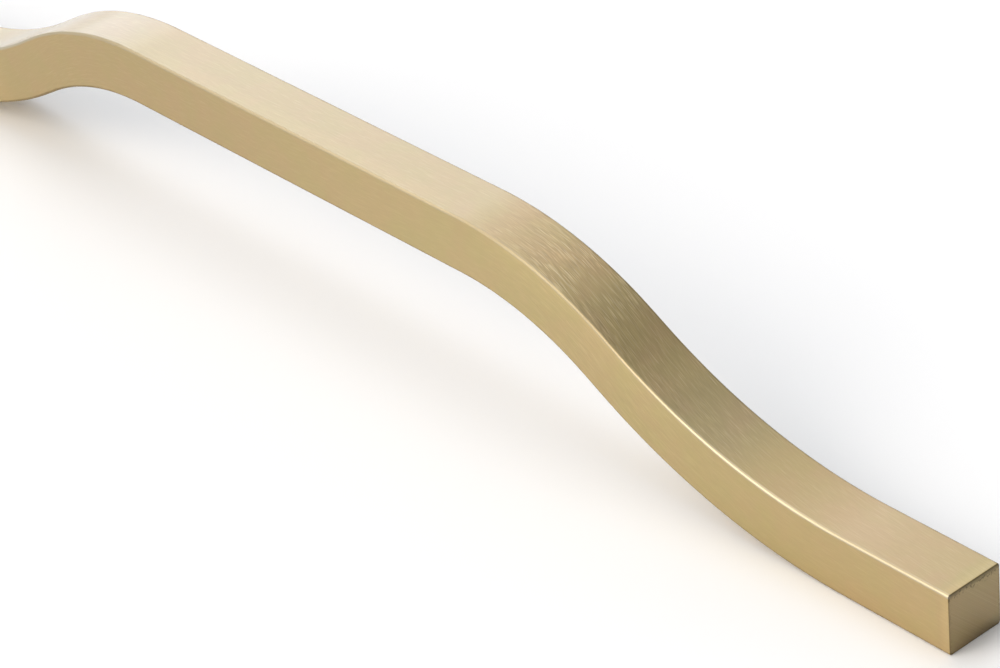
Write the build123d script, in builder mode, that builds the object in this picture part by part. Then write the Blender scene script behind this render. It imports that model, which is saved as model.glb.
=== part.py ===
from build123d import *
import math
import os

# A bow handle for a cabinet door or drawer: one brass bar, bent down at both ends into flat feet.
# It lies along X with its feet on the plane z = 0, and the origin is midway between its two holes.

# Driving dimensions, in millimetres
hole_spacing = 256.0  # between the centres of the two fixing holes
foot_length = 20.0  # flat length of each foot, with its hole in the middle
bar_width = 10.0
bar_thickness = 10.0
projection = 31.0  # from the door to the top of the grip
crown_radius = 60.0  # centre line of the bend from the grip into the leg
heel_radius = 93.0  # centre line of the bend from the leg into the foot
leg_straight = 4.0  # straight run of the leg between its two bends
edge_radius = 0.45  # long corners of the drawn bar
end_edge_radius = 0.15  # edges of the two sawn ends
thread_diameter = 4.0  # the fixing screws are M4
thread_pitch = 0.7
mouth_clearance = 0.2  # the mouth of each hole is this much wider than the thread
mouth_angle = 90.0
drill_point_angle = 118.0
cover_over_hole = 1.5  # metal left between the drill point and the top of the foot

# Sizes that follow from them
grip_height = projection - bar_thickness / 2
foot_height = bar_thickness / 2
half_length = (hole_spacing + foot_length) / 2
tap_drill_radius = (thread_diameter - thread_pitch) / 2
mouth_radius = (thread_diameter + mouth_clearance) / 2
drill_point_height = tap_drill_radius / math.tan(math.radians(drill_point_angle / 2))
drill_depth = bar_thickness - cover_over_hole - drill_point_height

# Both bends turn by one angle, which brings the centre line down from the grip to the foot
bend_radii = crown_radius + heel_radius
leg_drop = grip_height - foot_height
bend_angle = math.acos((bend_radii - leg_drop) / math.hypot(bend_radii, leg_straight))
bend_angle -= math.atan2(leg_straight, bend_radii)
bend_degrees = math.degrees(bend_angle)
leg_reach = bend_radii * math.sin(bend_angle) + leg_straight * math.cos(bend_angle)
grip_half_length = half_length - foot_length - leg_reach

# The bar's section runs along a centre line drawn for one half and mirrored for the other
end_plane = Plane(origin=(-half_length, 0, foot_height), x_dir=(0, 1, 0), z_dir=(1, 0, 0))

with BuildPart() as handle_bar:
    with BuildLine(Plane.XZ):
        grip = Line((0, grip_height), (grip_half_length, grip_height))
        crown = JernArc(grip @ 1, grip % 1, crown_radius, -bend_degrees)
        leg = PolarLine(crown @ 1, leg_straight, direction=crown % 1)
        heel = JernArc(leg @ 1, leg % 1, heel_radius, bend_degrees)
        Line(heel @ 1, (half_length, foot_height))
        mirror(about=Plane.YZ)
    with BuildSketch(end_plane):
        RectangleRounded(bar_width, bar_thickness, edge_radius)
    sweep()

    ends = handle_bar.faces().filter_by(Axis.X)
    fillet(ends.edges(), end_edge_radius)

    # Each foot has a blind hole, drilled for the thread and countersunk at its mouth
    with Locations(Plane.bottom):
        with GridLocations(hole_spacing, bar_width, 2, 1):
            CounterSinkHole(tap_drill_radius, mouth_radius, drill_depth, mouth_angle)
    with Locations(Plane.XY.offset(drill_depth)):
        with GridLocations(hole_spacing, bar_width, 2, 1):
            Cone(
                tap_drill_radius,
                0,
                drill_point_height,
                align=(Align.CENTER, Align.CENTER, Align.MIN),
                mode=Mode.SUBTRACT,
            )

os.makedirs("parts", exist_ok=True)
handle_bar.part.label = "handle_bar"
export_step(handle_bar.part, "parts/handle_bar.step")
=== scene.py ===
import math

import bpy
from mathutils import Matrix, Vector


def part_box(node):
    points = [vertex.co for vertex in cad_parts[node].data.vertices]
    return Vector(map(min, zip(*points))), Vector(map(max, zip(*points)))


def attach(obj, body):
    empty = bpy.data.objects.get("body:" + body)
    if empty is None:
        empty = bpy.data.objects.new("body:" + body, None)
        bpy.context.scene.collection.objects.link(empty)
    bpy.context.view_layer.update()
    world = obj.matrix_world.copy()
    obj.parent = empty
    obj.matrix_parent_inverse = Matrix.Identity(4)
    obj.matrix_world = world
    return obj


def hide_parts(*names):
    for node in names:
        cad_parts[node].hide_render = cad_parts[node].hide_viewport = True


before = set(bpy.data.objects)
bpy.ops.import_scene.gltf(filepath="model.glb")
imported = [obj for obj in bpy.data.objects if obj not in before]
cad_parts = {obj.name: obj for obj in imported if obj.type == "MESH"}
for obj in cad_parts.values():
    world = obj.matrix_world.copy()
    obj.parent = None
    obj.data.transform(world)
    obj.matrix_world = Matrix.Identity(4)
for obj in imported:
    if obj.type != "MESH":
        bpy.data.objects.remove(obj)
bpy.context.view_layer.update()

# The bar: square brass bar, drawn with slightly rounded corners and cut to length. Both ends are bent
# down in an open S, so that the grip stands clear of the door and each end lies flat on it as a foot.
# One rule gives its line: a straight grip, the crown bend, a short leg, the heel bend and the foot.
low_corner, high_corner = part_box("handle_bar")
bar_thickness = 0.010
corner_radius = 0.00045
foot_length = 0.020
crown_radius = 0.060
heel_radius = 0.093
leg_length = 0.004
bar_drop = high_corner.z - bar_thickness
bend_radii = crown_radius + heel_radius
bend_angle = math.acos((bend_radii - bar_drop) / math.hypot(bend_radii, leg_length))
bend_angle -= math.atan2(leg_length, bend_radii)
bend_reach = bend_radii * math.sin(bend_angle) + leg_length * math.cos(bend_angle)
grip_half_length = high_corner.x - foot_length - bend_reach
bar_sizes = {
    "Grip half length": grip_half_length,
    "Grip height": high_corner.z - bar_thickness / 2,
    "Bend angle": bend_angle,
    "Crown radius": crown_radius,
    "Leg length": leg_length,
    "Heel radius": heel_radius,
    "Foot length": foot_length,
    "Bar width": high_corner.y - low_corner.y,
    "Bar thickness": bar_thickness,
    "Corner radius": corner_radius,
    "End rounding": 0.00015,
    "Ring spacing": 0.001,
}
corner_steps = 8
fine_end_rings = 1.5
end_ring_cuts = 24


class Flow:
    """A node socket that can stand in a Python expression: each operator adds a Math node to its tree."""

    def __init__(self, tree, socket=None):
        self.tree = tree
        self.socket = socket

    def node(self, kind, settings=None, sockets=None, out=0):
        made = self.tree.nodes.new(kind)
        for name, setting in (settings or {}).items():
            if name == "captures":
                for value_type, label in setting:
                    made.capture_items.new(value_type, label)
            else:
                setattr(made, name, setting)
        for name, given in (sockets or {}).items():
            if isinstance(given, Flow):
                self.tree.links.new(given.socket, made.inputs[name])
            else:
                made.inputs[name].default_value = given
        return Flow(self.tree, made.outputs[out] if made.outputs else None)

    def other(self, name):
        return Flow(self.tree, self.socket.node.outputs[name])

    def parts(self):
        split = self.node("ShaderNodeSeparateXYZ", None, {0: self})
        return split, split.other("Y"), split.other("Z")

    def vector(self, x, y, z):
        return self.node("ShaderNodeCombineXYZ", None, {0: x, 1: y, 2: z})

    def math(self, operation, *values):
        return self.node("ShaderNodeMath", {"operation": operation}, dict(enumerate((self, *values))))

    def held(self, low, high):
        return self.math("MAXIMUM", low).math("MINIMUM", high)

    def rise(self, start, end):
        return self.node(
            "ShaderNodeMapRange",
            {"interpolation_type": "SMOOTHSTEP"},
            {"Value": self, "From Min": start, "From Max": end},
        )

    def fall(self, start, end):
        return 1 - self.rise(start, end)

    def __add__(self, other):
        return self.math("ADD", other)

    __radd__ = __add__

    def __mul__(self, other):
        return self.math("MULTIPLY", other)

    __rmul__ = __mul__

    def __sub__(self, other):
        return self.math("SUBTRACT", other)

    def __rsub__(self, other):
        return self.node("ShaderNodeMath", {"operation": "SUBTRACT"}, {0: other, 1: self})

    def __truediv__(self, other):
        return self.math("DIVIDE", other)

    def __rtruediv__(self, other):
        return self.node("ShaderNodeMath", {"operation": "DIVIDE"}, {0: other, 1: self})


def new_tree(name, sizes):
    tree = bpy.data.node_groups.new(name, "GeometryNodeTree")
    for size in sizes:
        tree.interface.new_socket(size, in_out="INPUT", socket_type="NodeSocketFloat")
    tree.interface.new_socket("Finish", in_out="INPUT", socket_type="NodeSocketMaterial")
    tree.interface.new_socket("Geometry", in_out="OUTPUT", socket_type="NodeSocketGeometry")
    entry = tree.nodes.new("NodeGroupInput")
    return tree, {socket.name: Flow(tree, socket) for socket in entry.outputs if socket.name}


def close_tree(shape, finish):
    realized = shape.node("GeometryNodeRealizeInstances", None, {0: shape})
    finished = shape.node("GeometryNodeSetMaterial", None, {"Geometry": realized, "Material": finish})
    shape.node("NodeGroupOutput", None, {0: finished})


def grow(name, tree, sizes, finish):
    grown = bpy.data.objects.new(name, bpy.data.meshes.new(name))
    bpy.context.scene.collection.objects.link(grown)
    modifier = grown.modifiers.new(tree.name, "NODES")
    modifier.node_group = tree
    for item in tree.interface.items_tree:
        if item.in_out == "INPUT":
            modifier[item.identifier] = sizes.get(item.name, finish)
    return grown


# A straight line as long as the bar's run, with a ring every millimetre and closer ones at its two ends
bar_tree, size = new_tree("Bent bar", bar_sizes)
bar_nodes = Flow(bar_tree)
angle = size["Bend angle"]
crown_start = size["Grip half length"]
leg_start = crown_start + size["Crown radius"] * angle
heel_start = leg_start + size["Leg length"]
foot_start = heel_start + size["Heel radius"] * angle
half_run = foot_start + size["Foot length"]
straight_line = bar_nodes.node(
    "GeometryNodeCurvePrimitiveLine",
    None,
    {"Start": bar_nodes.vector(half_run * -1, 0, 0), "End": bar_nodes.vector(half_run, 0, 0)},
)
rings = bar_nodes.node(
    "GeometryNodeResampleCurve",
    {"mode": "LENGTH"},
    {"Curve": straight_line, "Length": size["Ring spacing"]},
)
place = bar_nodes.node("GeometryNodeInputPosition").parts()[0]
ring_travel = place.math("ABSOLUTE")
at_end = (half_run - ring_travel).math("LESS_THAN", size["Ring spacing"] * fine_end_rings)
rings = bar_nodes.node(
    "GeometryNodeSubdivideCurve", None, {"Curve": rings, "Cuts": at_end * end_ring_cuts}
)
rings = bar_nodes.node(
    "GeometryNodeCaptureAttribute",
    {"captures": [("FLOAT", "Run")]},
    {"Geometry": rings, "Run": place},
)
ring_run = rings.other("Run")

# Each ring moves to its place on the bent line, by how far it has come along grip, bends, leg and foot
crown_turn = ((ring_travel - crown_start) / size["Crown radius"]).held(0, angle)
heel_turn = ((ring_travel - heel_start) / size["Heel radius"]).held(0, angle)
heel_left = angle - heel_turn
grip_share = ring_travel.math("MINIMUM", crown_start)
leg_share = (ring_travel - leg_start).held(0, size["Leg length"])
foot_share = (ring_travel - foot_start).math("MAXIMUM", 0)
line_x = grip_share + size["Crown radius"] * crown_turn.math("SINE") + leg_share * angle.math("COSINE")
line_x = line_x + size["Heel radius"] * (angle.math("SINE") - heel_left.math("SINE")) + foot_share
line_z = size["Grip height"] - size["Crown radius"] * (1 - crown_turn.math("COSINE"))
line_z = line_z - leg_share * angle.math("SINE")
line_z = line_z - size["Heel radius"] * (heel_left.math("COSINE") - angle.math("COSINE"))
bent_line = bar_nodes.node(
    "GeometryNodeSetPosition",
    None,
    {"Geometry": rings, "Position": bar_nodes.vector(place.math("SIGN") * line_x, 0, line_z)},
)
bent_line = bar_nodes.node("GeometryNodeSetCurveNormal", {"mode": "Z_UP"}, {"Curve": bent_line})

# The section is swept along the line and drawn in at both ends, which rounds their edges
section = bar_nodes.node(
    "GeometryNodeCurvePrimitiveQuadrilateral",
    {"mode": "RECTANGLE"},
    {"Width": size["Bar width"], "Height": size["Bar thickness"]},
)
section = bar_nodes.node(
    "GeometryNodeFilletCurve",
    {"mode": "POLY"},
    {"Curve": section, "Count": corner_steps, "Radius": size["Corner radius"]},
)
section = bar_nodes.node(
    "GeometryNodeCaptureAttribute",
    {"captures": [("VECTOR", "Section")]},
    {"Geometry": section, "Section": bar_nodes.node("GeometryNodeInputPosition")},
)
section_x, section_y = section.other("Section").parts()[:2]
rounding = size["End rounding"]
into_rounding = (rounding - (half_run - ring_run.math("ABSOLUTE"))).math("MAXIMUM", 0)
rounded = (rounding * rounding - into_rounding * into_rounding).math("SQRT")
ring_scale = 1 - (rounding - rounded) / (size["Bar thickness"] / 2)
swept = bar_nodes.node(
    "GeometryNodeCurveToMesh",
    None,
    {"Curve": bent_line, "Profile Curve": section, "Scale": ring_scale, "Fill Caps": True},
)
swept = bar_nodes.node("GeometryNodeSetShadeSmooth", None, {"Geometry": swept})

# Each point keeps its run along the bar, its place across it and its height in the section
place_on_bar = bar_nodes.vector(ring_run, section_x * -1, section_y * -1)
swept = bar_nodes.node(
    "GeometryNodeStoreNamedAttribute",
    {"data_type": "FLOAT_VECTOR", "domain": "POINT"},
    {"Geometry": swept, "Name": "bar_run", "Value": place_on_bar},
)
close_tree(swept, size["Finish"])

brass = bpy.data.materials.new("lacquered_brass")
bar = grow("bent_bar", bar_tree, bar_sizes, brass)

# The fixing holes: a blind hole in the middle of each foot, drilled from below with a pointed drill,
# countersunk a little at its mouth and tapped for an M4 screw. The tap leaves bare, bright brass.
cover_over_hole = 0.0015
half_drill_point = math.radians(59)
hole_sizes = {
    "Hole spacing": 0.256,
    "Thread radius": 0.0020,
    "Thread pitch": 0.0007,
    "Thread length": 0.0064,
    "Drill radius": 0.00165,
    "Drill tip height": bar_thickness - cover_over_hole,
    "Tip slope": math.tan(half_drill_point),
    "Mouth radius": 0.0021,
    "Overrun": 0.0005,
}
hole_count = 2
grid_size = 1
half_grid = grid_size / 2
sleeve_columns = 49
sleeve_rows = 181
crest_share = 0.25
flank_share = 0.625
lowest_row = 0.001 - half_grid
weld_distance = 1e-7
flat_face_weight = 100

# A flat grid is rolled into a sleeve with the hole's own wall: thread, mouth and point. Its lowest row is
# drawn together, so that the sleeve is a closed cutter.
tap_tree, size = new_tree("Tapped holes", hole_sizes)
tap_nodes = Flow(tap_tree)
sleeve = tap_nodes.node(
    "GeometryNodeMeshGrid",
    None,
    {
        "Size X": grid_size,
        "Size Y": grid_size,
        "Vertices X": sleeve_columns,
        "Vertices Y": sleeve_rows,
    },
)
grid_x, grid_y = tap_nodes.node("GeometryNodeInputPosition").parts()[:2]
turn = grid_x + half_grid
hole_height = (grid_y + half_grid) * (size["Drill tip height"] + size["Overrun"]) - size["Overrun"]
pitch_share = (hole_height / size["Thread pitch"] - turn).math("FRACT")
groove = ((pitch_share * 2 - 1).math("ABSOLUTE") - crest_share) / flank_share
groove = groove.held(0, 1) * ((size["Thread length"] - hole_height) / size["Thread pitch"]).held(0, 1)
thread_wall = size["Drill radius"] + groove * (size["Thread radius"] - size["Drill radius"])
mouth_wall = size["Mouth radius"] - hole_height.math("MAXIMUM", 0)
tip_wall = (size["Drill tip height"] - hole_height) * size["Tip slope"]
radius = thread_wall.math("MAXIMUM", mouth_wall).math("MINIMUM", tip_wall)
radius = radius * grid_y.math("GREATER_THAN", lowest_row)
turn = turn * math.tau
rolled = tap_nodes.vector(radius * turn.math("COSINE"), radius * turn.math("SINE"), hole_height)
sleeve = tap_nodes.node("GeometryNodeSetPosition", None, {"Geometry": sleeve, "Position": rolled})
sleeve = tap_nodes.node(
    "GeometryNodeMergeByDistance", None, {"Geometry": sleeve, "Distance": weld_distance}
)
sleeve = tap_nodes.node("GeometryNodeSetShadeSmooth", None, {"Geometry": sleeve})
hole_points = tap_nodes.node(
    "GeometryNodeMeshLine",
    None,
    {
        "Count": hole_count,
        "Start Location": tap_nodes.vector(size["Hole spacing"] / -2, 0, 0),
        "Offset": tap_nodes.vector(size["Hole spacing"], 0, 0),
    },
)
taps = tap_nodes.node("GeometryNodeInstanceOnPoints", None, {"Points": hole_points, "Instance": sleeve})
close_tree(taps, size["Finish"])

bare_brass = bpy.data.materials.new("tapped_brass")
tap = grow("tap", tap_tree, hole_sizes, bare_brass)
drilling = bar.modifiers.new("Drilling", "BOOLEAN")
drilling.object = tap
drilling.operation = "DIFFERENCE"
drilling.solver = "EXACT"
even = bar.modifiers.new("Flat faces stay flat", "WEIGHTED_NORMAL")
even.weight = flat_face_weight
evaluated_bar = bar.evaluated_get(bpy.context.evaluated_depsgraph_get())
handle = bpy.data.objects.new("brass_bar", bpy.data.meshes.new_from_object(evaluated_bar))
bpy.context.scene.collection.objects.link(handle)
bpy.data.objects.remove(bar)
bpy.data.objects.remove(tap)
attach(handle, "root")
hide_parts("handle_bar")

# The finish: the bar is brushed lengthwise with a fine belt, and the bends once more after bending, which
# leaves short parallel scratches there. Clear satin lacquer seals it, rubbed thin along the corners. The
# sawn ends are only ground: they are duller, and painted darker as shade, and the saw leaves a ragged dark
# edge at the top. Over this the bar carries painted light and shade, for how the lamps fall on it.
satin_roughness = 0.5
line_roughness = 0.15
corner_polish = 0.12
scratch_depth = 0.00002
lacquer_roughness = 0.15
lacquer_ior = 1.55
crown_begins = grip_half_length
leg_begins = crown_begins + crown_radius * bend_angle
heel_begins = leg_begins + leg_length
foot_begins = heel_begins + heel_radius * bend_angle
bar_ends = foot_begins + foot_length
half_side = bar_thickness / 2


def surface(material):
    material.use_nodes = True
    material.node_tree.nodes.clear()
    return Flow(material.node_tree)


def finish_with(shader):
    shader.node("ShaderNodeOutputMaterial", None, {"Surface": shader})


paint = surface(brass)
bar_run = paint.node("ShaderNodeAttribute", {"attribute_name": "bar_run"}).other("Vector")
run, across, height = bar_run.parts()
travel = run.math("ABSOLUTE")
girth = across + height
stroke_drift = 0.1
drift_begins = crown_begins + crown_radius * bend_angle / 2
drift = (travel - drift_begins).math("MAXIMUM", 0) * stroke_drift
noise_roughness = 0.55


def brush(along, over, detail, seed):
    stroke = paint.vector(run * along, (girth + drift) * over, seed)
    return paint.node(
        "ShaderNodeTexNoise",
        None,
        {"Vector": stroke, "Scale": 1, "Detail": detail, "Roughness": noise_roughness},
    )


def cloud(scale, detail, seed):
    return paint.node(
        "ShaderNodeTexNoise",
        {"noise_dimensions": "4D"},
        {"Vector": bar_run, "W": seed, "Scale": scale, "Detail": detail, "Roughness": noise_roughness},
    )


def between(start, full, fading, end):
    return travel.rise(start, full) * travel.fall(fading, end)


def less(mask, lost_share):
    return 1 - mask * lost_share


def blend(under, over, share):
    return paint.node(
        "ShaderNodeMix",
        {"data_type": "RGBA"},
        {"Factor": share, "A": under, "B": over},
        out="Result",
    )


# Places on the bar, as masks from 0 to 1: its sides and top, the stretches of its run in metres from the
# start or end of each bend, and its near half on the right
on_side = across.math("ABSOLUTE").rise(half_side - 0.0003, half_side - 0.0001)
on_top = 1 - on_side
on_crown = between(crown_begins - 0.003, crown_begins + 0.004, crown_begins + 0.008, leg_begins - 0.007)
on_slope = between(leg_begins - 0.010, leg_begins - 0.002, heel_begins + 0.020, heel_begins + 0.030)
in_hollow = between(heel_begins + 0.007, heel_begins + 0.012, heel_begins + 0.020, heel_begins + 0.030)
on_rise = between(foot_begins - 0.015, foot_begins - 0.007, foot_begins + 0.003, foot_begins + 0.009)
on_foot = travel.rise(foot_begins - 0.012, foot_begins - 0.004)
end_band = travel.rise(bar_ends - 0.0032, bar_ends - 0.0016)
end_face = travel.rise(bar_ends - 0.00012, bar_ends - 0.00002)
near_half = run.rise(-0.05, 0.05)
far_half = 1 - near_half
far_bend = far_half * travel.rise(crown_begins, leg_begins)
far_crown = between(crown_begins, crown_begins + 0.005, crown_begins + 0.009, crown_begins + 0.014)
far_crown = far_crown * far_half
far_leg = between(leg_begins - 0.007, leg_begins, heel_begins + 0.005, heel_begins + 0.011) * far_half
far_foot = travel.rise(heel_begins + 0.009, heel_begins + 0.017) * far_half

# Brushing: strokes counted per metre along the bar and over it, pressed harder on the bends
belt_brushing = 0.21
lightest_stroke = 0.3
stroke_range = 0.8
far_rebrushing = 0.5
hairline_share = 0.75
scratch_share = 0.12
streak_share = 0.08
deep_share = 0.1
pale_share = 0.32
line_drop = 0.03
hairlines = brush(along=480, over=6800, detail=1, seed=1.7) - 0.5
scratches = brush(along=300, over=3600, detail=1, seed=8.3) - 0.5
soft_streaks = brush(along=130, over=1500, detail=1, seed=5.2) - 0.5
deep_scratches = brush(along=380, over=6400, detail=0, seed=6.6).rise(0.6, 0.7)
deep_scratches = deep_scratches + brush(along=300, over=4200, detail=0, seed=11.2).rise(0.66, 0.76)
pressure = cloud(scale=120, detail=2, seed=2.6).rise(0.35, 0.65)
rebrushed = between(crown_begins, crown_begins + 0.020, leg_begins - 0.011, foot_begins - 0.010)
rebrushed = rebrushed * near_half.math("MAXIMUM", far_rebrushing) * less(on_side, 0.65)
brushing = belt_brushing + rebrushed * (lightest_stroke + pressure * stroke_range)
brushing = brushing * less(on_side, 0.25) * less(far_bend, 0.45)
lines = hairlines * hairline_share + scratches * scratch_share + soft_streaks * streak_share
lines = (lines - line_drop + deep_scratches * deep_share) * brushing
pale_scratches = deep_scratches * brushing * pale_share

# Corners: the front one on top is rubbed pale, in a tone that also stands in for its highlight, with a
# painted highlight from the heel to the end. The others are painted darker, as shade.
corner_begins = bar_thickness - corner_radius
wobble_size = 0.0002
crown_wobble = 0.0002
wobble = (cloud(scale=700, detail=2, seed=4.4) - 0.5) * (wobble_size + on_crown * crown_wobble)
corner = across.math("ABSOLUTE") + height.math("ABSOLUTE") + wobble
corner = corner.rise(corner_begins - 0.0001, corner_begins + 0.00015)
front_top = (height - across).rise(bar_thickness * 0.9, bar_thickness * 0.92)
front_top_corner = corner * front_top
# The other corners, painted darker as shade; they also keep less lacquer
painted_shade_corners = corner - front_top_corner
corner_turn = girth.rise(-0.0003, 0.0003) * travel.rise(crown_begins, crown_begins + 0.010) * near_half
front_corner = front_top_corner * less(corner_turn, 0.7)
# Painted highlight along the front top corner from the heel to the end, where it is also polished smoother
polish_and_highlight_corner = front_corner * travel.rise(heel_begins - 0.005, heel_begins + 0.02)
# Painted light over the upper half of the front top corner, on the grip and crown
painted_corner_light = front_top_corner * girth.rise(-0.0001, 0.0002) * travel.fall(leg_begins - 0.004, heel_begins)
# Painted shade over the upper half of that corner along the near crown, dimming its highlight
painted_crown_corner_shade = between(crown_begins - 0.004, crown_begins + 0.010, leg_begins - 0.006, heel_begins + 0.002)
painted_crown_corner_shade = painted_crown_corner_shade * near_half * front_top_corner * girth.rise(-0.0003, -0.00005)

# Sawn ends: a ragged burr at the top with specks under it, painted shade along the lower edge, darker
# towards the back, and a lighter band round the bar beside the end
from_edge = half_side - across.math("ABSOLUTE").math("MAXIMUM", height.math("ABSOLUTE"))
from_top = half_side - height
from_bottom = half_side + height
burr_reach = 0.0012
edge_dark = 0.25
burr_dark = 0.32
speck_dark = 0.45
darkest_mark = 0.6
ragged = (cloud(scale=1800, detail=3, seed=7.5) - 0.5) * burr_reach
saw_edge = (from_edge + ragged * 0.5).fall(0.00005, 0.0003)
top_burr = (from_top + ragged).fall(0.00035, 0.0007)
saw_specks = cloud(scale=2600, detail=2, seed=9.1).rise(0.53, 0.62) * from_top.fall(0.0007, 0.0016)
saw_marks = saw_edge * edge_dark + top_burr * burr_dark + saw_specks * speck_dark
saw_marks = saw_marks.math("MINIMUM", darkest_mark) * end_face
# Painted shade: the end face darkens towards its lower edge, most towards the back
low_shade = from_bottom.fall(0, 0.0024) * (0.1 + across.rise(-0.004, 0.003) * 0.9) * end_face
lighter_end_band = travel.rise(bar_ends - 0.0019, bar_ends - 0.0007) * (1 - end_face)

# Tones: one for each stretch, under pinkish and olive blotches, with scratches and rubbed corners on top.
# The crown and slope tones are partly painted light, the side tones painted light, and the corner tones
# carry a painted highlight.
plain_tone = (0.441, 0.314, 0.1325, 1)
# Crown and slope: partly the brushing's own tone, partly painted light for how the lamps fall there
crown_tone = (0.472, 0.339, 0.159, 1)
slope_tone = (0.434, 0.325, 0.147, 1)
# Sides: painted tones for the light on them, paler on the near half and more saturated on the far half
painted_side_tone = (0.451, 0.361, 0.158, 1)
painted_far_side_tone = (0.439, 0.319, 0.117, 1)
scratch_tone = (0.58, 0.47, 0.28, 1)
# Rubbed corner: worn pale, a tone that also stands in for the corner's highlight
worn_and_highlight_tone = (0.42, 0.345, 0.21, 1)
# Painted highlight tone for that corner
painted_highlight_tone = (0.50, 0.425, 0.285, 1)
pink_tint = (1.029, 0.981, 1.042, 1)
olive_tint = (0.971, 1.019, 0.958, 1)
blotch_strength = 0.55
blotches = 0.5 + (cloud(scale=150, detail=3, seed=3.1).rise(0.36, 0.64) - 0.5) * blotch_strength
blotches = blotches - on_foot * 0.3 + end_band * (on_top * 0.8 - 0.2)
tint = blend(pink_tint, olive_tint, blotches.held(0, 1))
tone = blend(plain_tone, crown_tone, (on_crown + on_rise * 0.35) * on_top)
tone = blend(tone, slope_tone, on_slope * on_top * 0.85)
tone = blend(tone, painted_side_tone, on_side * near_half * 0.6)
tone = blend(tone, painted_far_side_tone, on_side * run.fall(-0.07, -0.01) * 0.8)
tone = paint.node("ShaderNodeVectorMath", {"operation": "MULTIPLY"}, {0: tone, 1: tint})
tone = blend(tone, scratch_tone, pale_scratches)
tone = blend(tone, worn_and_highlight_tone, front_corner)
tone = blend(tone, painted_highlight_tone, polish_and_highlight_corner)

# Shade: how light the metal looks: the brushing's lines, and painted light and shade on sides, top,
# corners and ends
even_shade = 1.04
lighter_end_band_gain = 0.08
painted_side_light = 0.08
painted_band_light_gain = 0.04
painted_hollow_shade = 0.1
painted_corner_light_gain = 0.3
# Painted light: a lighter band along the front of the grip's top
painted_top_band_light = across.fall(-0.0028, -0.0012) * travel.fall(crown_begins - 0.008, crown_begins)
# Painted sheen on the near sides of the bends, brightest just under the top corner
side_sheen = between(crown_begins, crown_begins + 0.015, heel_begins, heel_begins + 0.02) * near_half
side_sheen = side_sheen * (height.rise(-0.003, 0.0045) * 0.08 + height.rise(0.0036, 0.0046) * 0.06)
# Painted shade: the sides darken towards the far end
painted_far_side_shade = run.fall(-0.06, 0.05) * (0.05 + run.rise(-0.092, -0.082) * 0.08)
# Painted light on the far foot's top, painted shade on the far leg and crown
painted_far_light_and_shade = far_foot * 0.18 - far_leg * 0.13 - far_crown * 0.09
# Painted light makes the sides lighter; the brushing's lines are the metal's own
shade = even_shade + lines + lighter_end_band * lighter_end_band_gain + on_side * (painted_side_light + side_sheen - painted_far_side_shade)
# The top's painted light and shade: the front band, the far bend, and painted shade in the hollow
shade = shade + on_top * (painted_top_band_light * painted_band_light_gain - in_hollow * painted_hollow_shade + painted_far_light_and_shade)
# Painted light and shade on the corners
shade = shade * (1 + painted_corner_light * painted_corner_light_gain) * less(painted_shade_corners, 0.35) * less(painted_crown_corner_shade, 0.34)
# Painted shade on the end face, darker by about a third and deepest along its lower edge towards the back;
# the saw marks are its own
shade = shade * less(end_face, 0.355) * (1 - saw_marks) * less(low_shade, 0.3)
tone = paint.node("ShaderNodeVectorMath", {"operation": "SCALE"}, {0: tone, "Scale": shade})

# Lacquer: thinner on the sides, the ends and the left-hand bend, and worn off dark corners and saw marks
thin_coat = (far_leg * 0.3 + far_crown * 0.15) * on_top
coat = less(end_face, 0.4) * less(on_side, 0.4) * less(painted_shade_corners, 0.8)
coat = coat * (1 - thin_coat) * (1 - saw_marks)
line_relief = paint.node(
    "ShaderNodeBump",
    None,
    {"Strength": 1, "Distance": scratch_depth, "Height": lines * less(far_bend, 0.5)},
)
finish_with(
    paint.node(
        "ShaderNodeBsdfPrincipled",
        None,
        {
            "Base Color": tone,
            "Metallic": 1,
            "Roughness": satin_roughness + lines * line_roughness - polish_and_highlight_corner * corner_polish,
            "Normal": line_relief,
            "Coat Weight": coat,
            "Coat Roughness": lacquer_roughness,
            "Coat IOR": lacquer_ior,
        },
    )
)

# Inside the holes: bare brass with the fine rings that the drill and the tap leave
ring_stretch = (400, 400, 12000)
ring_depth = 0.00001
cut_low_tone = (0.50, 0.36, 0.16, 1)
cut_high_tone = (0.72, 0.56, 0.29, 1)
cut_roughness = 0.2
ring_roughness = 0.25
cut = surface(bare_brass)
hole_place = cut.node("ShaderNodeTexCoord").other("Object")
tool_rings = cut.node("ShaderNodeVectorMath", {"operation": "MULTIPLY"}, {0: hole_place, 1: ring_stretch})
tool_rings = cut.node(
    "ShaderNodeTexNoise", None, {"Vector": tool_rings, "Scale": 1, "Detail": 2, "Roughness": 0.5}
)
cut_tone = cut.node(
    "ShaderNodeMix",
    {"data_type": "RGBA"},
    {"Factor": tool_rings.rise(0.3, 0.7), "A": cut_low_tone, "B": cut_high_tone},
    out="Result",
)
ring_relief = cut.node(
    "ShaderNodeBump", None, {"Strength": 1, "Distance": ring_depth, "Height": tool_rings}
)
finish_with(
    cut.node(
        "ShaderNodeBsdfPrincipled",
        None,
        {
            "Base Color": cut_tone,
            "Metallic": 1,
            "Roughness": cut_roughness + tool_rings * ring_roughness,
            "Normal": ring_relief,
        },
    )
)

# The floor: one wide sheet of matt white board, which isn't part of the handle. The feet rest on it,
# and it takes the handle's soft shadow.
floor_size = 12
floor_white = (0.97, 0.97, 0.97, 1)
half_floor = floor_size / 2
floor_corners = [
    (-half_floor, -half_floor, 0),
    (half_floor, -half_floor, 0),
    (half_floor, half_floor, 0),
    (-half_floor, half_floor, 0),
]
floor_mesh = bpy.data.meshes.new("floor")
floor_mesh.from_pydata(floor_corners, [], [(0, 1, 2, 3)])
floor = bpy.data.objects.new("floor", floor_mesh)
bpy.context.scene.collection.objects.link(floor)
white = bpy.data.materials.new("white_floor")
sheet = surface(white)
finish_with(sheet.node("ShaderNodeBsdfDiffuse", None, {"Color": floor_white}))
floor_mesh.materials.append(white)

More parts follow.
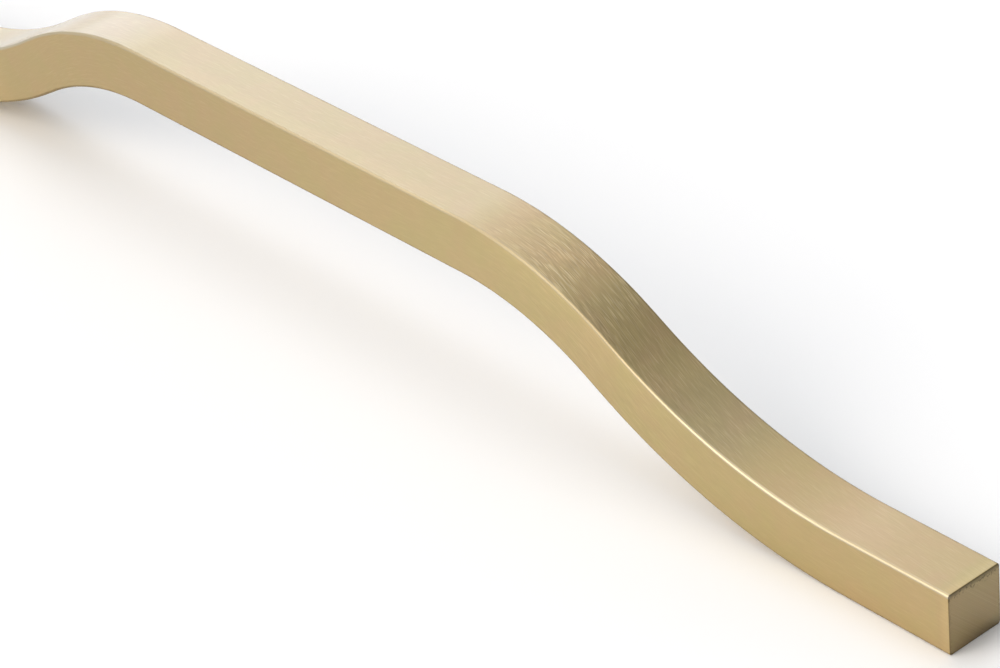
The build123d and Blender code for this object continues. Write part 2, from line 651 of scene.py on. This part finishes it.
# The light: a plain studio with white walls and a dim ceiling, and three wide soft lamps, far enough away
# to light the whole floor evenly: a warm one in front on the left, a cool panel low at the back, and one
# high at the back.
wall_light = 0.838
ceiling_light = 0.153
walls_end = 0.2
ceiling_begins = 0.8
studio_lamps = [
    # strength, azimuth, elevation, sharpness, colour
    (4.97, -112, 37, 16, (1.08, 1, 0.90)),
    (1.90, 143, 19, 20, (0.88, 1, 1.19)),
    (2.93, 156, 68, 15, (0.95, 1, 1.08)),
]
world = bpy.data.worlds.new("studio")
bpy.context.scene.world = world
world.use_nodes = True
world.node_tree.nodes.clear()
sky = Flow(world.node_tree)
outward = sky.node("ShaderNodeTexCoord")
ceiling = outward.parts()[2].rise(walls_end, ceiling_begins)
glow = wall_light + ceiling * (ceiling_light - wall_light)
glow = sky.node("ShaderNodeBackground", None, {"Color": (1, 1, 1, 1), "Strength": glow})
for strength, azimuth, elevation, sharpness, colour in studio_lamps:
    turned = math.radians(azimuth)
    raised = math.radians(elevation)
    level = math.cos(raised)
    lamp_way = (math.cos(turned) * level, math.sin(turned) * level, math.sin(raised))
    towards_lamp = sky.node(
        "ShaderNodeVectorMath", {"operation": "DOT_PRODUCT"}, {0: outward, 1: lamp_way}, out="Value"
    )
    lamp = ((towards_lamp - 1) * sharpness).math("EXPONENT") * strength
    lamp = sky.node("ShaderNodeBackground", None, {"Color": (*colour, 1), "Strength": lamp})
    glow = sky.node("ShaderNodeAddShader", None, {0: glow, 1: lamp})
sky.node("ShaderNodeOutputWorld", None, {"Surface": glow})

# The camera: a long lens above the right-hand foot, turned a little on its axis. It looks down along the
# bar, so that the near end is large and the left-hand foot leaves the picture at its edge.
lens_length = 126.578
sensor_width = 36
aim_point = Vector((0.0202, 0.01685, -0.0090))
camera_distance = 0.5628
camera_azimuth = 52.31
camera_elevation = 32.29
camera_roll = -6.40
camera_lens = bpy.data.cameras.new("camera")
camera_lens.sensor_width = sensor_width
camera_lens.lens = lens_length
camera = bpy.data.objects.new("camera", camera_lens)
bpy.context.scene.collection.objects.link(camera)
facing = Matrix.Rotation(math.radians(camera_azimuth), 3, "Z")
facing = facing @ Matrix.Rotation(math.radians(90 - camera_elevation), 3, "X")
facing = facing @ Matrix.Rotation(math.radians(camera_roll), 3, "Z")
eye_point = aim_point + facing.col[2] * camera_distance
camera.matrix_world = Matrix.Translation(eye_point) @ facing.to_4x4()
bpy.context.scene.camera = camera
bpy.context.scene.view_settings.view_transform = "Standard"
